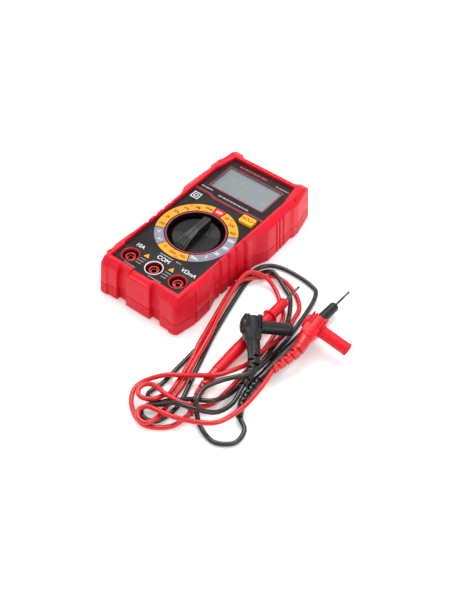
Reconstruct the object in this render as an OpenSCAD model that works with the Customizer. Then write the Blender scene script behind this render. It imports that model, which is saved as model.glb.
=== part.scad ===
// Handheld digital multimeter with a rubber-edged case, a rotary selector, three input
// sockets, a hold button, a fold-out stand and a pair of test leads with shrouded plugs.
// Millimetres. The meter lies on its feet, display up, with the display end towards +Y.

/* [Case] */
// Height of the raised rim round the face
rim_z = 34; // [33:0.5:35]
// Height of the face panel's surface
panel_z = 31.3; // [31:0.1:31.8]
// Height of the join between the two case halves
join_z = 10.8; // [10:0.2:11.6]
// Outward draft of the case at the join
draft = 1; // [0.5:0.1:1]
// Thickness of the rubber feet
foot_h = 0.6; // [0.5:0.05:0.6]

/* [Dial] */
// Centre of the dial along the case
dial_y = -13.8; // [-14.5:0.1:-13]
// Radius of the opening that the knob turns in
dial_hole_r = 21.5; // [21.2:0.1:22]
// Radius of the knob's skirt
skirt_r = 20.6; // [20:0.1:20.8]
// Height of the grip bar above the panel
grip_h = 4.6; // [3:0.2:5]

/* [Sockets] */
// Distance between neighbouring input sockets
jack_pitch = 22; // [20:0.5:22]
// Outer radius of a socket ring
jack_r = 7; // [6.6:0.1:7]
// Bore radius of a socket's contact
bore_r = 2; // [2:0.05:2.1]

/* [Leads] */
// Diameter of the lead's cord
cord_d = 3.4; // [3:0.1:3.4]
// Length of a probe's bare tip
tip_l = 18.7; // [12:0.1:19]
// Outer radius of a plug's shroud
shroud_r = 4.8; // [4.6:0.1:4.8]

/* [Hidden] */
$fn = 48;
gap = 0.3;                      // clearance between pieces that move past each other
skin = 0.1;                     // clearance between fixed pieces
eps = 0.05;

red = "crimson";
dark = "dimgray";
copper = "goldenrod";

// Heights inside the case
plate_top = panel_z - 1;        // the face panel lies on the case's top plate
plate_bottom = panel_z - 3;
floor_z = 3;
stand_floor_z = 4.4;
board_z = 12;
board_t = 1.6;
board_top = board_z + board_t;
display_z = 21;
display_top = display_z + board_t;

// Half of the case outline where the sides meet the sloping shoulder, from the bottom
// end to the top end. The other half is its mirror image.
half_w = 40.4;
half_l = 80.7;
waist_grooves = [[35, -29.3], [35.3, -19.8], [35.5, -10.8], [36, -1.8]];
bumper_grooves = [[40.1, 32.2], [39.9, 36.2], [39.6, 41.2]];
function groove(at, w, d) =
    let (x = at[0], y = at[1])
    [[x, y - w / 2], [x - d, y - w / 5], [x - d + 0.1, y + w / 5], [x + 0.1, y + w / 2]];
half_outline = concat(
    [[10.7, -79.9], [10.9, -75.3], [19.5, -75.1], [19.9, -79.6], [28.3, -79.7], [28.5, -80.6],
     [33.2, -80.7], [35.6, -78.8]],
    groove([38.5, -61.8], 1.6, 1),
    [[37.8, -45.5], [34.6, -35.5]],
    [for (at = waist_grooves) each groove(at, 3.6, 1.2)],
    [[36.6, 1.8], [35.9, 7.2], [36.4, 11.2], [40.4, 21]],
    [for (at = bumper_grooves) each groove(at, 1.4, 0.9)],
    [[38.9, 50.7], [40.2, 54.2], [39.9, 60.2], [35.2, 80.2], [34.2, 80.7], [28, 80.6],
     [25.3, 77.7]]
);
function mirrored(half) =
    concat(half, [for (i = [len(half) - 1 : -1 : 0]) [-half[i][0], half[i][1]]]);
case_outline = mirrored(half_outline);
panel_outline = mirrored([[31.4, -72.6], [31.4, -57], [32.4, -56], [32.4, 52], [31.2, 56],
                          [28.6, 70.7]]);
cavity_outline = mirrored([[31, -72.4], [31, 74.5]]);

// Outline grown outwards by d at height z, and the rim's outline where the shoulder ends
function ring_at(z, d) =
    [for (p = case_outline) [p[0] * (1 + d / half_w), p[1] * (1 + d / half_l), z]];
rim_w = 34.2;
rim_low = -75.5;
rim_high = 73.2;
function keep(v, low, high) =
    v > high ? high + 0.06 * (v - high) : v < low ? low + 0.06 * (v - low) : v;
function rim_ring(z) =
    [for (p = case_outline) [keep(p[0], -rim_w, rim_w), keep(p[1], rim_low, rim_high), z]];

// Triangles that fill a flat outline, cut off one corner at a time
function turn(a, b, c) = (b[0] - a[0]) * (c[1] - a[1]) - (b[1] - a[1]) * (c[0] - a[0]);
function holds(p, a, b, c) = turn(a, b, p) >= 0 && turn(b, c, p) >= 0 && turn(c, a, p) >= 0;
function corner(i, k) = let (n = len(i)) [i[(k + n - 1) % n], i[k], i[(k + 1) % n]];
function is_free(p, i, t) =
    turn(p[t[0]], p[t[1]], p[t[2]]) > 1e-4
    && len([for (j = i) if (j != t[0] && j != t[1] && j != t[2]
                            && holds(p[j], p[t[0]], p[t[1]], p[t[2]])) j]) == 0;
function free_corner(p, i, k) =
    k >= len(i) ? 0 : is_free(p, i, corner(i, k)) ? k : free_corner(p, i, k + 1);
function filled(p, i, done = []) =
    len(i) == 3 ? concat(done, [i])
    : let (k = free_corner(p, i, 0))
      filled(p, [for (j = [0 : len(i) - 1]) if (j != k) i[j]], concat(done, [corner(i, k)]));

// Closed solid through a stack of rings that have the same number of points. The end
// rings' triangles are given, or the ends are plain convex faces.
module skin_through(rings, end = []) {
    n = len(rings[0]);
    m = len(rings);
    sides = [for (i = [0 : m - 2]) for (k = [0 : n - 1])
        each [[i * n + k, (i + 1) * n + k, i * n + (k + 1) % n],
              [i * n + (k + 1) % n, (i + 1) * n + k, (i + 1) * n + (k + 1) % n]]];
    first = len(end) > 0 ? [for (t = end) [t[0], t[1], t[2]]] : [[for (k = [0 : n - 1]) k]];
    last = [for (f = first) [for (k = [len(f) - 1 : -1 : 0]) (m - 1) * n + f[k]]];
    polyhedron(points = [for (r = rings) each r], faces = concat(sides, first, last),
               convexity = 12);
}
module case_skin(rings) {
    skin_through(rings, filled(case_outline, [for (k = [0 : len(case_outline) - 1]) k]));
}

// Round tube along a path. The path's points are joined by a smooth curve, and the radius
// runs evenly from r0 to r1.
function extended(p) =
    concat([2 * p[0] - p[1]], p, [2 * p[len(p) - 1] - p[len(p) - 2]]);
function blend(a, b, c, d, t) =
    0.5 * (2 * b + (c - a) * t + (2 * a - 5 * b + 4 * c - d) * t * t
           + (3 * b - a - 3 * c + d) * t * t * t);
function on_curve(e, u) =
    let (i = min(floor(u), len(e) - 4)) blend(e[i], e[i + 1], e[i + 2], e[i + 3], u - i);
function smooth_path(p, rings) =
    let (e = extended(p)) [for (i = [0 : rings - 1]) on_curve(e, i * (len(p) - 1) / (rings - 1))];
function unit(v) = v / norm(v);
function heading(q, i) = unit(q[min(i + 1, len(q) - 1)] - q[max(i - 1, 0)]);
module tube(path, rings, r0, r1, sides = 8) {
    q = [for (p = smooth_path(path, rings)) [p[0], p[1], max(p[2], r1 + eps)]];
    loops = [for (i = [0 : rings - 1])
        let (t = heading(q, i), s = unit(cross(t, [0, 0, 1])), v = cross(s, t),
             r = r0 + (r1 - r0) * i / (rings - 1))
        [for (k = [0 : sides - 1]) q[i] + r * (cos(k * 360 / sides) * s + sin(k * 360 / sides) * v)]];
    skin_through(loops);
}

// Box given by its lowest and highest corners
module block(low, high) {
    translate(low) cube(high - low);
}
module upright(x, y, z0, z1, r) {
    translate([x, y, z0]) cylinder(h = z1 - z0, r = r);
}
module lying(x0, x1, y, z, r) {
    translate([x0, y, z]) rotate([0, 90, 0]) cylinder(h = x1 - x0, r = r);
}

// Places shared by several pieces
jack_y = -61.8;
jack_x = [-jack_pitch, 0, jack_pitch];
lcd = [-0.6, 47.95];
window_half = [24.6, 13.2];
hold = [22.7, 18.8];
hold_half = [6.1, 4.1];
case_bosses = [[-11, -69], [11, -69], [-27.3, 70.8], [27.3, 70.8]];
board_posts = [[-26, -36], [26, -36], [-26.5, 1], [26.5, 1]];
feet = [[-29, -70], [29, -70], [-29, 66], [29, 66]];
boss_r = 3;
screw_r = 1.25;

// Case ------------------------------------------------------------------------------
module front_shell() {
    difference() {
        case_skin([ring_at(join_z, draft), ring_at(panel_z, 0), rim_ring(rim_z)]);
        translate([0, 0, plate_top]) linear_extrude(10) polygon(panel_outline);
        translate([0, 0, join_z - 1]) linear_extrude(plate_bottom - join_z + 1)
            polygon(cavity_outline);
        upright(0, dial_y, plate_bottom - 1, rim_z, dial_hole_r);
        for (x = jack_x) upright(x, jack_y, plate_bottom - 1, rim_z, jack_r + skin);
        block([lcd[0] - window_half[0] - skin, lcd[1] - window_half[1] - skin, plate_bottom - 1],
              [lcd[0] + window_half[0] + skin, lcd[1] + window_half[1] + skin, rim_z]);
        block([hold[0] - hold_half[0] - gap, hold[1] - hold_half[1] - gap, plate_bottom - 1],
              [hold[0] + hold_half[0] + gap, hold[1] + hold_half[1] + gap, rim_z]);
    }
}
module front_case() {
    color(red) {
        front_shell();
        difference() {
            upright(0, dial_y, plate_bottom - 4, plate_bottom, dial_hole_r + 2.6);
            upright(0, dial_y, plate_bottom - 5, plate_bottom + 1, dial_hole_r + 1);
        }
        for (p = case_bosses) difference() {
            upright(p[0], p[1], join_z, plate_bottom, boss_r);
            upright(p[0], p[1], join_z - 1, plate_bottom - 7, screw_r + eps);
        }
        for (p = board_posts) difference() {
            upright(p[0], p[1], board_top, plate_bottom, 2.6);
            upright(p[0], p[1], board_top - 1, plate_bottom - 7, 1 + eps);
        }
    }
}

stand_half_w = 23;
stand_low = -50;
stand_hinge = [14, 1.75];       // Y and Z of the stand's hinge axis
cover_half_w = 14.3;
cover_y = [18.6, 73.9];
cover_screw_y = 71.8;
module rear_case() {
    color(red) difference() {
        union() {
            difference() {
                case_skin([ring_at(foot_h, 0.8), ring_at(1.4, 1.4), ring_at(join_z, draft)]);
                translate([0, 0, stand_floor_z]) linear_extrude(10) polygon(cavity_outline);
                block([-31, -72.4, floor_z], [31, stand_low - 3, 9]);
                block([-31, stand_hinge[0] + 3, floor_z], [31, 74.5, 9]);
            }
            for (p = case_bosses) upright(p[0], p[1], 2.6, join_z, boss_r);
            for (x = [-20.2, 10.5]) block([x, -77.4, foot_h], [x + 9.7, -74, join_z]);
            block([-5, 69.2, 2.7], [5, 74.6, 8]);
        }
        block([-cover_half_w - gap, cover_y[0] - gap, 0], [cover_half_w + gap, cover_y[1] + gap, 2.7]);
        block([-cover_half_w + 0.8, cover_y[0] + 0.9, 0], [cover_half_w - 0.8, 69.2, 5]);
        block([-stand_half_w - gap, stand_low - 1, 0],
              [stand_half_w + gap, stand_hinge[0] + 1.6, 3.1]);
        lying(-stand_half_w - 2.6, stand_half_w + 2.6, stand_hinge[0], stand_hinge[1], 0.87);
        upright(0, cover_screw_y, 2, 7.4, 1 + eps);
        for (p = case_bosses) {
            upright(p[0], p[1], 0, 2.6, 2.9);
            upright(p[0], p[1], 1, join_z + 1, 1.5);
        }
    }
}
module face_panel() {
    color(dark) difference() {
        translate([0, 0, plate_top]) linear_extrude(panel_z - plate_top)
            polygon([for (p = panel_outline) p * 0.998]);
        upright(0, dial_y, plate_bottom, rim_z, dial_hole_r);
        for (x = jack_x) upright(x, jack_y, plate_bottom, rim_z, jack_r + skin);
        block([lcd[0] - window_half[0] - skin, lcd[1] - window_half[1] - skin, plate_bottom],
              [lcd[0] + window_half[0] + skin, lcd[1] + window_half[1] + skin, rim_z]);
        block([hold[0] - hold_half[0] - gap, hold[1] - hold_half[1] - gap, plate_bottom],
              [hold[0] + hold_half[0] + gap, hold[1] + hold_half[1] + gap, rim_z]);
    }
}

// Display ---------------------------------------------------------------------------
module around_lcd(dx, dy, z0, z1) {
    block([lcd[0] - dx, lcd[1] - dy, z0], [lcd[0] + dx, lcd[1] + dy, z1]);
}
lcd_half = [25.4, 13.4];
glass_z = [25.4, 28];
module display_window() {
    color("lightgray") around_lcd(window_half[0], window_half[1], plate_bottom + skin,
                                  panel_z - skin);
}
module lcd_glass() {
    color("darkseagreen") around_lcd(lcd_half[0], lcd_half[1], glass_z[0], glass_z[1]);
}
module lcd_holder() {
    color("black") difference() {
        around_lcd(lcd_half[0] + 3, lcd_half[1] + 3, display_top, glass_z[1] + skin);
        around_lcd(lcd_half[0] + skin, lcd_half[1] + skin, display_top - 1, glass_z[1] + 1);
    }
}
module zebra_strips() {
    color("hotpink") for (s = [-1, 1])
        translate([lcd[0] - 24, lcd[1] + s * 11.7 - 0.9, display_top])
            cube([48, 1.8, glass_z[0] - display_top]);
}

// Electronics -----------------------------------------------------------------------
module display_pcb() {
    color("seagreen") block([-29, 5, display_z], [29, 67, display_top]);
}
module board_link() {
    color("black") block([-10, 7, board_top], [10, 9.4, display_z]);
}
spindle_r = 3;
module main_pcb() {
    color("seagreen") difference() {
        block([-30, -71, board_z], [30, 12, board_top]);
        upright(0, dial_y, board_z - 1, board_top + 1, spindle_r + eps);
        for (p = case_bosses) upright(p[0], p[1], board_z - 1, board_top + 1, boss_r + gap);
        for (p = board_posts) upright(p[0], p[1], board_z - 1, board_top + 1, 1.2);
    }
}
module chip_module() {
    color("black") block([-19, -9, board_z - 1.6], [-5, 5, board_z]);
}
module board_parts() {
    color("tan") {
        for (x = [-27, -24, -21]) upright(x, -48, board_top, board_top + 5, 1.2);
        for (i = [0 : 4]) block([-6 + 5 * i, -50, board_top], [-3 + 5 * i, -48.4, board_top + 1]);
        for (i = [0 : 3]) block([8 + 4 * i, 1, board_z - 1], [10 + 4 * i, 4, board_z]);
    }
    color("steelblue") {
        upright(-10, -48, board_top, board_top + 7, 2.5);
        upright(24, -45, board_top, board_top + 7, 2.5);
    }
}
shunt_x = [-19, -3];
module shunt_bar() {
    color("peru") {
        lying(shunt_x[0], shunt_x[1], -52, board_top + 4, 0.9);
        for (x = shunt_x) {
            upright(x, -52, board_top, board_top + 4, 0.9);
            translate([x, -52, board_top + 4]) sphere(r = 0.9);
        }
    }
}
fuse_z = 8.2;
fuse_low_at = [4, 24, -26];     // X range and Y of the small fuse
fuse_high_at = [-16, 16, -42];
module fuse(at, r) {
    lying(at[0], at[1], at[2], fuse_z, r);
}
module fuse_low() {
    color("lightblue") fuse(fuse_low_at, 2.5);
}
module fuse_high() {
    color("ivory") fuse(fuse_high_at, 3);
}
module clip_pair(at, r) {
    for (x = [at[0] + 1, at[1] - 5]) difference() {
        block([x, at[2] - r - 0.6, fuse_z - 1], [x + 4, at[2] + r + 0.6, board_z]);
        lying(x - 1, x + 5, at[2], fuse_z, r);
        block([x - 1, at[2] - r + 0.5, fuse_z - 2], [x + 5, at[2] + r - 0.5, fuse_z]);
    }
}
module fuse_clips() {
    color("silver") {
        clip_pair(fuse_low_at, 2.5);
        clip_pair(fuse_high_at, 3);
    }
}
module buzzer_disc() {
    color(copper) {
        upright(0, -62.6, floor_z, floor_z + 0.5, 9);
        upright(0, -62.6, floor_z + 0.5, floor_z + 0.8, 6);
    }
}

// Selector --------------------------------------------------------------------------
deck_z = panel_z - 3;           // flat top of the knob's disc
skirt_z = panel_z - 6;
carrier_z = 14.8;
carrier_top = 16.8;
carrier_r = 19;
module grip_bar() {
    plan = [[3.05, 14.2], [3.05, 0], [5, -19.8], [-5, -19.8], [-3.05, 0], [-3.05, 14.2],
            [-1.2, 15.6], [1.2, 15.6]];
    side = [[15.6, -4], [15.6, grip_h - 1.2], [14.4, grip_h], [0, grip_h], [-10, grip_h - 1.4],
            [-19, 0], [-19.8, -4]];
    translate([0, dial_y, panel_z]) intersection() {
        translate([0, 0, -4]) linear_extrude(12) polygon(plan);
        translate([-8, 0, 0]) rotate([90, 0, 90]) linear_extrude(16) polygon(side);
    }
}
module selector_knob() {
    color("darkslategray") {
        translate([0, dial_y, 0]) rotate_extrude() polygon([
            [0, board_z - 0.4], [spindle_r, board_z - 0.4], [spindle_r, carrier_top],
            [5, carrier_top], [5, skirt_z - 1.1], [dial_hole_r + 0.5, skirt_z - 1.1],
            [dial_hole_r + 0.5, skirt_z - 0.2], [skirt_r, skirt_z - 0.2], [skirt_r, skirt_z],
            [18, deck_z], [0, deck_z]]);
        grip_bar();
    }
}
detent_r = 1.5;
module contact_carrier() {
    color("whitesmoke") difference() {
        upright(0, dial_y, carrier_z, carrier_top, carrier_r);
        upright(0, dial_y, carrier_z - 1, carrier_top + 1, spindle_r);
        for (s = [-1, 1]) translate([s * 16, dial_y, 0])
            block([-4, -detent_r, carrier_z - 1], [4, detent_r, carrier_top + 1]);
    }
}
module wiper_contacts() {
    color(copper) for (r = [8, 11.5, 15])
        translate([0, dial_y, 0]) rotate([0, 0, r * 20])
            block([r - 1, -3, board_top + gap], [r + 1, 3, carrier_z]);
}
module detent_springs() {
    color("silver") for (s = [-1, 1])
        lying(s > 0 ? 12 : -16.4, s > 0 ? 16.4 : -12, dial_y, carrier_z + 1, 0.9);
}
module detent_balls() {
    color("silver") for (s = [-1, 1])
        translate([s * 17.6, dial_y, carrier_z + 1]) sphere(r = 1.2);
}

// Hold button -----------------------------------------------------------------------
flange_z = [26.8, 28];
button_top = panel_z + 2.4;
module hold_button() {
    color("orange") {
        block([hold[0] - hold_half[0], hold[1] - hold_half[1], flange_z[1]],
              [hold[0] + hold_half[0], hold[1] + hold_half[1], button_top]);
        block([hold[0] - hold_half[0] - 1.2, hold[1] - hold_half[1] - 1.2, flange_z[0]],
              [hold[0] + hold_half[0] + 0.3, hold[1] + hold_half[1] + 1.2, flange_z[1]]);
    }
}
module hold_switch() {
    color(copper) upright(hold[0], hold[1], display_top, display_top + 0.6, 2);
}
module hold_dome() {
    color("lightgray") translate([hold[0], hold[1], 0]) rotate_extrude() polygon([
        [4.8, display_top], [4.8, display_top + 0.8], [3, flange_z[0] - 0.8], [3, flange_z[0]],
        [0, flange_z[0]], [0, flange_z[0] - 0.8], [2.4, flange_z[0] - 0.8],
        [4, display_top + 0.6], [4, display_top]]);
}

// Input sockets ---------------------------------------------------------------------
jack_top = panel_z + 0.2;
recess_r = 5.9;
post_r = 3.95;
post_top = 29.5;
module jack_well(x) {
    translate([x, jack_y, 0]) rotate_extrude() polygon([
        [3 + skin, board_top], [jack_r, board_top], [jack_r, jack_top], [recess_r, jack_top],
        [recess_r, 15.2], [post_r, 15.2], [post_r, post_top], [2.3, post_top],
        [2.3, 28], [3 + skin, 28]]);
}
module jack_socket(x) {
    translate([x, jack_y, 0]) rotate_extrude() polygon([
        [0, board_top], [3, board_top], [3, 28 - skin], [bore_r, 28 - skin], [bore_r, 14.8],
        [0, 14.8]]);
}
module jack_well_10a() { color(red) jack_well(jack_x[0]); }
module jack_well_com() { color("white") jack_well(jack_x[1]); }
module jack_well_volt() { color(red) jack_well(jack_x[2]); }
module jack_socket_10a() { color(copper) jack_socket(jack_x[0]); }
module jack_socket_com() { color(copper) jack_socket(jack_x[1]); }
module jack_socket_volt() { color(copper) jack_socket(jack_x[2]); }

// Battery ---------------------------------------------------------------------------
battery_y = [20.2, 68.2];
terminal_x = 6.35;
module battery_9v() {
    color("slategray") block([-13.2, battery_y[0], 2.6], [13.2, battery_y[1], 20.1]);
    color("silver") for (s = [-1, 1])
        translate([s * terminal_x, battery_y[0], 11.3]) rotate([90, 0, 0]) cylinder(h = 3, r = 2.9);
}
module battery_snap() {
    color("black") difference() {
        block([-12.2, 15, 4.8], [12.2, battery_y[0] - skin, 17.8]);
        for (s = [-1, 1]) translate([s * terminal_x, battery_y[0] + 1, 11.3])
            rotate([90, 0, 0]) cylinder(h = 4.4, r = 3.1);
    }
}
module battery_leads() {
    for (s = [-1, 1]) color(s > 0 ? red : "black")
        translate([s * 4, 15, board_z + 0.8]) rotate([90, 0, 0]) cylinder(h = 3, r = 0.6);
}
module battery_cover() {
    color(red) difference() {
        block([-cover_half_w, cover_y[0], foot_h], [cover_half_w, cover_y[1], 2.4]);
        upright(0, cover_screw_y, 0, 5, 1.3);
        upright(0, cover_screw_y, 0, 1.7, 2.1 - skin);
    }
}

// Screws ----------------------------------------------------------------------------
module screw(x, y, z, head_r, head_h, r, length) {
    difference() {
        union() {
            upright(x, y, z, z + head_h, head_r);
            upright(x, y, z + head_h - eps, z + head_h + length, r);
        }
        for (a = [0, 90]) translate([x, y, z]) rotate([0, 0, a])
            block([-head_r * 0.6, -0.25, -1], [head_r * 0.6, 0.25, head_h * 0.6]);
    }
}
module cover_screw() {
    color("silver") screw(0, cover_screw_y, 0.7, 1.9, 1, 1, 5);
}
module case_screws() {
    color("silver") for (p = case_bosses) screw(p[0], p[1], 1.1, 2.6, 1.4, screw_r, 17);
}
module board_screws() {
    color("silver") for (p = board_posts) screw(p[0], p[1], board_z - 1.5, 2.3, 1.5, 1, 7);
}

// Stand and feet --------------------------------------------------------------------
module tilt_stand() {
    color(dark) {
        block([-stand_half_w, stand_low, 0.9], [stand_half_w, stand_hinge[0] - 0.6, 2.3]);
        lying(-stand_half_w, stand_half_w, stand_hinge[0], stand_hinge[1], 1.1);
        lying(-stand_half_w - 2.3, stand_half_w + 2.3, stand_hinge[0], stand_hinge[1], 0.8);
    }
}
module rubber_feet() {
    color("black") for (p = feet) upright(p[0], p[1], 0, foot_h, 4);
}

// Test leads ------------------------------------------------------------------------
// A plug is drawn with its shroud along +X and its cord leaving along -Y. Each place is a
// point and the turn about X, Y and Z.
red_plug = [[115.5, -26, 19], [9, 13, 3]];
black_plug = [[82, -54, 19.6], [20, 13, 44]];
// A probe is drawn with its tip along +X and the tip's root at the origin
red_probe = [[80.3, -11, 8.6], [0, -2.3, 90.3]];
black_probe = [[110.5, 9, 7.6], [0, -1.8, 88.6]];
head_x = 6.5;
head_y = -10;
shroud_l = 22.5;
handle_end = -81;

red_plug_neck = [[115.7, -35.2, 17.6], [117, -42, 16.3], [117.5, -50, 14.6], [115.5, -59, 12.6],
                 [113, -70, 10.6]];
black_plug_neck = [[87.6, -60.8, 16.5], [93, -66, 14.2], [99, -74, 11.6], [102.5, -83, 9.6],
                   [104, -91.5, 8.2]];
red_probe_neck = [[80.72, -91.5, 5.37], [81.5, -104, 4.9], [84.5, -118, 4.4], [89.5, -131, 3.8]];
black_probe_neck = [[108.53, -71.5, 5.07], [108, -84, 4.8], [110.5, -101, 4.4],
                    [116.5, -112.5, 3.8]];

red_route = [
    [113, -70, 10.6], [116, -90, 10.8], [116.5, -109.5, 11], [112, -128, 11.2],
    [101, -137, 10.6], [85, -142.5, 8.8], [73, -145.2, 9.2], [66, -146.6, 8.8],
    [62.6, -151.4, 7.9], [66.2, -156.6, 7], [72, -156.4, 6.2], [75.2, -149.5, 5.6],
    [73.8, -140, 3.8], [71.6, -131, 1.9],
    [69, -114, 1.9], [65, -100, 4.4], [59, -73, 8.6], [50.5, -48.5, 8.4], [42.5, -17, 9],
    [42.5, -5.5, 9.8], [48, -1, 9], [56, 1, 6.5], [66, -2, 3], [76, -10, 1.8],
    [85.5, -20, 1.8], [90.5, -38.5, 1.8], [94.5, -66, 1.8], [95.5, -108, 1.8], [92, -122, 5],
    [86.5, -128, 8.6], [78, -131, 9.2], [68, -132, 10.6], [60, -131, 10.4],
    [53.6, -132.6, 9.6], [51.4, -138, 8.9], [54.6, -142.6, 8.5], [60.2, -142.2, 8.3],
    [64.8, -138, 8], [66.8, -131.5, 6.4], [66.4, -122, 2.2], [60, -93, 3.4], [56, -80, 5.5], [53, -69, 5.5],
    [41.5, -25, 5.3], [41.5, -12, 5.6], [46, -3, 4.8], [50, 3, 2.6], [55, 10, 1.8],
    [66, 10.5, 1.8], [79.5, 4.5, 1.8], [89, -4.5, 1.8], [92.5, -16.5, 2], [97.5, -36, 5.5],
    [94.5, -58.5, 5.6], [94, -74, 6.6], [93.5, -82, 9.8], [91, -90, 11.4], [85, -99, 11],
    [67, -109, 6.6], [55, -117.5, 5.5], [45, -132, 1.8], [51.5, -147, 1.8], [69, -155.8, 1.8],
    [84.5, -146.5, 1.8], [89.5, -131, 3.8]
];
black_route = [
    [104, -91.5, 8.2], [107, -108, 6.4], [103.5, -122, 8], [92.5, -131, 12.4],
    [80, -135, 12.2], [71, -139.8, 8], [64.8, -142.8, 5.6], [61.6, -147.4, 4],
    [65, -151.2, 2.6], [71, -150.8, 1.8], [76.2, -145.4, 1.8], [77.5, -128, 1.8], [67, -95.5, 1.8],
    [56, -61.5, 1.8], [45.4, -18.5, 1.8], [43.6, -6, 1.8], [46, 5, 2.4], [51.5, 9, 5.2],
    [57, 9.5, 5.5], [69, 4.5, 2.8], [79.5, -2.5, 1.8], [92.5, -27, 1.8], [99, -65.5, 1.8],
    [99.5, -88, 1.8], [99.5, -104, 5], [96, -116, 8.4], [86, -122.5, 8.7], [78, -127, 6.2],
    [72, -132.5, 5.9], [66.6, -136.6, 4], [60.8, -138.2, 3], [56, -135, 2.4],
    [55.6, -129.5, 1.9], [57, -122, 1.8], [56.5, -105.5, 1.8], [54.5, -71.5, 1.8],
    [46.5, -48.5, 1.8], [41.4, -22.5, 1.8], [39.9, -2, 1.8], [43.6, 14, 1.8], [56, 21, 1.8],
    [81, 20, 1.8], [92, 11, 1.8], [99.5, -28.5, 2.2], [101.5, -46, 3.4], [103.8, -64, 8.6],
    [104.5, -77, 12], [101.5, -88, 13.6], [92, -101, 12.6], [87.5, -114, 13],
    [90, -124.5, 12], [94.5, -130, 7], [101.5, -134.5, 2.6], [115, -138, 1.8],
    [126, -130, 1.8], [125, -118, 2], [116.5, -112.5, 3.8]
];
cord_rings = 84;

module placed(at) {
    translate(at[0]) rotate(at[1]) children();
}
module plug_head() {
    translate([0, 0, -6.2]) linear_extrude(12.4) polygon([
        [-7, 6], [-5.5, 7.5], [5, 7.5], [head_x, 6], [head_x, -5], [4.8, head_y],
        [-4.8, head_y], [-7, -5]]);
    lying(-8, -7, 0, 0, 5.6);
}
module plug_collar() {
    difference() {
        lying(head_x, head_x + shroud_l, 0, 0, shroud_r);
        lying(head_x - 1, head_x + shroud_l + 1, 0, 0, shroud_r - 0.7);
    }
}
module plug_pin() {
    lying(head_x, head_x + shroud_l - 3.5, 0, 0, bore_r - 0.05);
}
module plug_neck(path) {
    tube(path, 12, 4.6, 2.5, 12);
}
module cord(route) {
    tube(route, cord_rings, cord_d / 2, cord_d / 2);
}
module probe_neck(path) {
    tube(path, 12, 3.7, 2.4, 12);
}
module turned(profile) {
    rotate([0, 90, 0]) rotate_extrude() polygon(profile);
}
module probe_handle() {
    turned([[0, handle_end], [3.9, handle_end], [4.4, -60], [4.4, -40], [4.2, -19], [0, -19]]);
}
module probe_nose() {
    turned([[0, -19], [5.8, -19], [5.8, -18.2], [4, -16.4], [3.7, -0.6], [3.2, 0], [0, 0]]);
}
module probe_tip() {
    turned([[0, 0], [1, 0], [1, tip_l - 2.4], [0.15, tip_l], [0, tip_l]]);
}

module red_plug_head() { color(red) placed(red_plug) plug_head(); }
module red_plug_collar() { color(red) placed(red_plug) plug_collar(); }
module red_plug_pin() { color("silver") placed(red_plug) plug_pin(); }
module red_plug_relief() { color(red) plug_neck(red_plug_neck); }
module red_cord() { color(red) cord(red_route); }
module red_probe_relief() { color(red) probe_neck(red_probe_neck); }
module red_probe_handle() { color(red) placed(red_probe) probe_handle(); }
module red_probe_nose() { color(red) placed(red_probe) probe_nose(); }
module red_probe_tip() { color("silver") placed(red_probe) probe_tip(); }
module black_plug_head() { color(dark) placed(black_plug) plug_head(); }
module black_plug_collar() { color(dark) placed(black_plug) plug_collar(); }
module black_plug_pin() { color("silver") placed(black_plug) plug_pin(); }
module black_plug_relief() { color(dark) plug_neck(black_plug_neck); }
module black_cord() { color(dark) cord(black_route); }
module black_probe_relief() { color(dark) probe_neck(black_probe_neck); }
module black_probe_handle() { color(dark) placed(black_probe) probe_handle(); }
module black_probe_nose() { color(dark) placed(black_probe) probe_nose(); }
module black_probe_tip() { color("silver") placed(black_probe) probe_tip(); }

front_case();
rear_case();
face_panel();
display_window();
lcd_glass();
lcd_holder();
zebra_strips();
display_pcb();
board_link();
main_pcb();
chip_module();
board_parts();
shunt_bar();
fuse_low();
fuse_high();
fuse_clips();
buzzer_disc();
selector_knob();
contact_carrier();
wiper_contacts();
detent_springs();
detent_balls();
hold_button();
hold_switch();
hold_dome();
jack_well_10a();
jack_well_com();
jack_well_volt();
jack_socket_10a();
jack_socket_com();
jack_socket_volt();
battery_9v();
battery_snap();
battery_leads();
battery_cover();
cover_screw();
case_screws();
board_screws();
tilt_stand();
rubber_feet();
red_plug_head();
red_plug_collar();
red_plug_pin();
red_plug_relief();
red_cord();
red_probe_relief();
red_probe_handle();
red_probe_nose();
red_probe_tip();
black_plug_head();
black_plug_collar();
black_plug_pin();
black_plug_relief();
black_cord();
black_probe_relief();
black_probe_handle();
black_probe_nose();
black_probe_tip();
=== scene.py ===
"""Looks for a handheld digital multimeter with test leads. Lengths are in millimetres in the
row frame and become metres where a mesh is made."""
import math

import bmesh
import bpy
from mathutils import Matrix, Vector


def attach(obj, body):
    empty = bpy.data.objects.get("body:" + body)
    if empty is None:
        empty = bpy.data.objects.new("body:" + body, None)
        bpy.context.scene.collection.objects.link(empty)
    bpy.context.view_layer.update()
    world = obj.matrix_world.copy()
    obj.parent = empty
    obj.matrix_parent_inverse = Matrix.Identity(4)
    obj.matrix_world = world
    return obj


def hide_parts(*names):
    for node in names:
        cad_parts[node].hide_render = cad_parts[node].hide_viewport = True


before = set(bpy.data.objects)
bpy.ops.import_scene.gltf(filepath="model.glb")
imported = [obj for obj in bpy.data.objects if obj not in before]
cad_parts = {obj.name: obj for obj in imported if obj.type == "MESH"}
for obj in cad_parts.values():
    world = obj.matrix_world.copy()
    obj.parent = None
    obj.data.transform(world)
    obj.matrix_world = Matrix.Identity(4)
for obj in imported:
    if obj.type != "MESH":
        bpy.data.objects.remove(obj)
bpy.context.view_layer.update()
MM = 0.001

# ------------------------------------------------------------------ camera


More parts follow.
